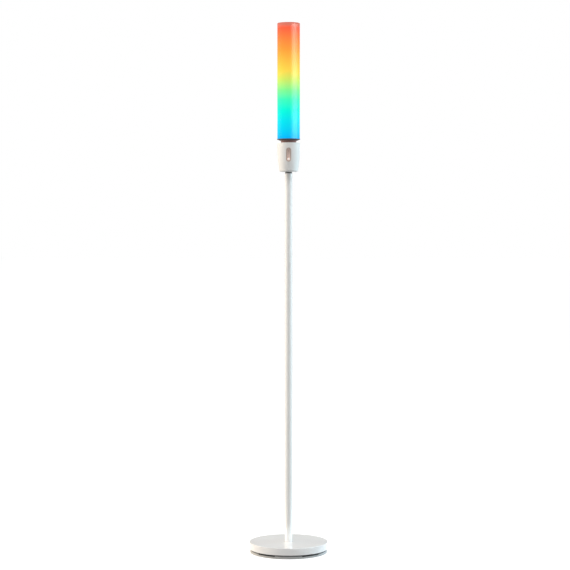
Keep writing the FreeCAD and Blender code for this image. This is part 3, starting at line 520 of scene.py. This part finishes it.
def add_world():
    """Even light for surfaces, a little stronger from above. The camera sees the backdrop white, and so does
    gloss, where the ceiling is greyer and the room in front of the lamp is dark."""
    world = bpy.data.worlds.new("studio")
    bpy.context.scene.world = world
    nodes, links = empty_tree(world)
    output = nodes.new("ShaderNodeOutputWorld")
    direction = coordinates(nodes, "Generated")
    up = component(nodes, links, direction, "Z")
    away = value_range(nodes, links, component(nodes, links, direction, "Y"), (0.0, 1.0), (-1.0, 1.0))
    both = nodes.new("ShaderNodeMix")
    both.data_type = "RGBA"
    both.blend_type = "MULTIPLY"
    both.inputs["Factor"].default_value = 1.0
    links.new(grey_ramp(nodes, links, up, BACKDROP), both.inputs["A"])
    links.new(grey_ramp(nodes, links, away, ROOM), both.inputs["B"])
    in_gloss = background(nodes, links, both.outputs["Result"])
    camera_ray = nodes.new("ShaderNodeLightPath").outputs["Is Camera Ray"]
    seen = mixed_shaders(nodes, links, camera_ray, in_gloss, background(nodes, links))
    light = background(nodes, links, grey_ramp(nodes, links, up, AMBIENT))
    links.new(mixed_shaders(nodes, links, shown_rays(nodes, links), light, seen), output.inputs["Surface"])


# ---------------------------------------------------------------- lights

# Azimuths are in degrees: 0 is the camera's side, and they grow towards +X. Every light aims at the lamp's
# axis, at the height `aim`. Powers are in watts.
SOFTBOXES = (
    dict(name="left_softbox", azimuth=-97, distance=2.3, height=1.28, aim=1.28, size=(1.2, 2.1), power=56,
         colour=(1.0, 0.875, 0.71)),
    dict(name="right_softbox", azimuth=97, distance=2.3, height=1.28, aim=1.28, size=(1.2, 2.1), power=54,
         colour=(0.67, 0.90, 0.99)),
    dict(name="front_softbox", azimuth=-14, distance=1.4, height=3.6, aim=0.9, size=(1.2, 1.2), power=50,
         colour=(1.0, 0.985, 0.96)),
)
# softboxes that only the tube's gloss shows, as the pale streak up its side
STREAK_SOFTBOXES = (
    dict(name="streak_softbox", azimuth=70, distance=2.6, height=1.4, aim=1.4, size=(3.0, 1.1),
         power=150, colour=(0.8, 1.0, 1.0)),
    dict(name="streak_top_softbox", azimuth=52, distance=2.6, height=1.95, aim=1.95, size=(2.2, 0.7),
         power=110, colour=(1.0, 1.0, 1.0)),
)
STREAK_NODE = "diffuser_tube"
# narrow spots on the foot of the pole and on the base's rim: `rise` and `cone` are in degrees
SPOT_DISTANCE = 2.4
SPOT_RADIUS = 0.01
SPOTS = (
    dict(name="accent_left", azimuth=-28, rise=9.0, aim=0.035, cone=1.9, power=36.0, colour=(1.0, 1.0, 1.0)),
    dict(name="accent_right", azimuth=28, rise=9.0, aim=0.035, cone=1.9, power=36.0, colour=(1.0, 1.0, 1.0)),
    dict(name="rim_left", azimuth=-104, rise=4.0, aim=0.02, cone=6.0, power=68.0, colour=(1.0, 0.80, 0.52)),
    dict(name="rim_right", azimuth=104, rise=4.0, aim=0.02, cone=6.0, power=70.0, colour=(0.60, 0.80, 1.0)),
)


def add_light(data, azimuth, distance, height, aim):
    """Puts a light at an azimuth, a distance from the lamp's axis and a height. Returns its object."""
    light = bpy.data.objects.new(data.name, data)
    angle = math.radians(azimuth)
    light.location = (distance * math.sin(angle), -distance * math.cos(angle), height)
    line = Vector((0, 0, aim)) - light.location
    light.rotation_euler = line.to_track_quat("-Z", "Y").to_euler()
    bpy.context.scene.collection.objects.link(light)
    return light


def add_softbox(name, azimuth, distance, height, aim, size, power, colour, only_in_gloss=False):
    """An area light. It lights surfaces and leaves no reflection, or it is only seen in gloss."""
    data = bpy.data.lights.new(name, "AREA")
    data.shape = "RECTANGLE"
    data.size, data.size_y = size
    data.energy = power
    data.color = colour
    box = add_light(data, azimuth, distance, height, aim)
    box.visible_camera = False
    box.visible_glossy = only_in_gloss
    box.visible_diffuse = not only_in_gloss
    return box


def light_only(light, node):
    """Links a light to one CAD node, so that it acts on that alone."""
    receivers = bpy.data.collections.new(light.name + "_receivers")
    receivers.objects.link(frame["nodes"][node])
    light.light_linking.receiver_collection = receivers


def add_spot(name, azimuth, rise, aim, cone, power, colour):
    """A narrow soft-edged spot that stands `rise` degrees above the height that it aims at."""
    data = bpy.data.lights.new(name, "SPOT")
    data.spot_size = math.radians(cone)
    data.spot_blend = 1.0
    data.shadow_soft_size = SPOT_RADIUS
    data.energy = power
    data.color = colour
    tilt = math.radians(rise)
    add_light(data, azimuth, SPOT_DISTANCE * math.cos(tilt), aim + SPOT_DISTANCE * math.sin(tilt), aim)


def add_lights():
    for box in SOFTBOXES:
        add_softbox(**box)
    for box in STREAK_SOFTBOXES:
        light_only(add_softbox(**box, only_in_gloss=True), STREAK_NODE)
    for spot in SPOTS:
        add_spot(**spot)


# ---------------------------------------------------------------- camera

EYE_DISTANCE = 4.48
EYE_HEIGHT = 0.888
TILT_DOWN = math.radians(2.041)
TURN_LEFT = math.radians(0.124)
SENSOR_WIDTH = 36.0
IMAGE_WIDTH = 570
FOCAL_PIXELS = 1652.0


def add_camera():
    data = bpy.data.cameras.new("camera")
    data.sensor_width = SENSOR_WIDTH
    data.lens = FOCAL_PIXELS * SENSOR_WIDTH / IMAGE_WIDTH
    camera = bpy.data.objects.new("camera", data)
    camera.location = (0, -EYE_DISTANCE, EYE_HEIGHT)
    camera.rotation_euler = (math.radians(90) - TILT_DOWN, 0, TURN_LEFT)
    bpy.context.scene.collection.objects.link(camera)
    bpy.context.scene.camera = camera


# ---------------------------------------------------------------- the scene


def main():
    add_camera()
    add_world()
    add_floor()
    add_lights()
    finishes = make_finishes()
    dress_nodes(finishes)
    slit_lips(finishes["lip_rubber"])
    knob_ridges(finishes["knob_white"])
    bpy.context.scene.view_settings.view_transform = "Standard"


main()
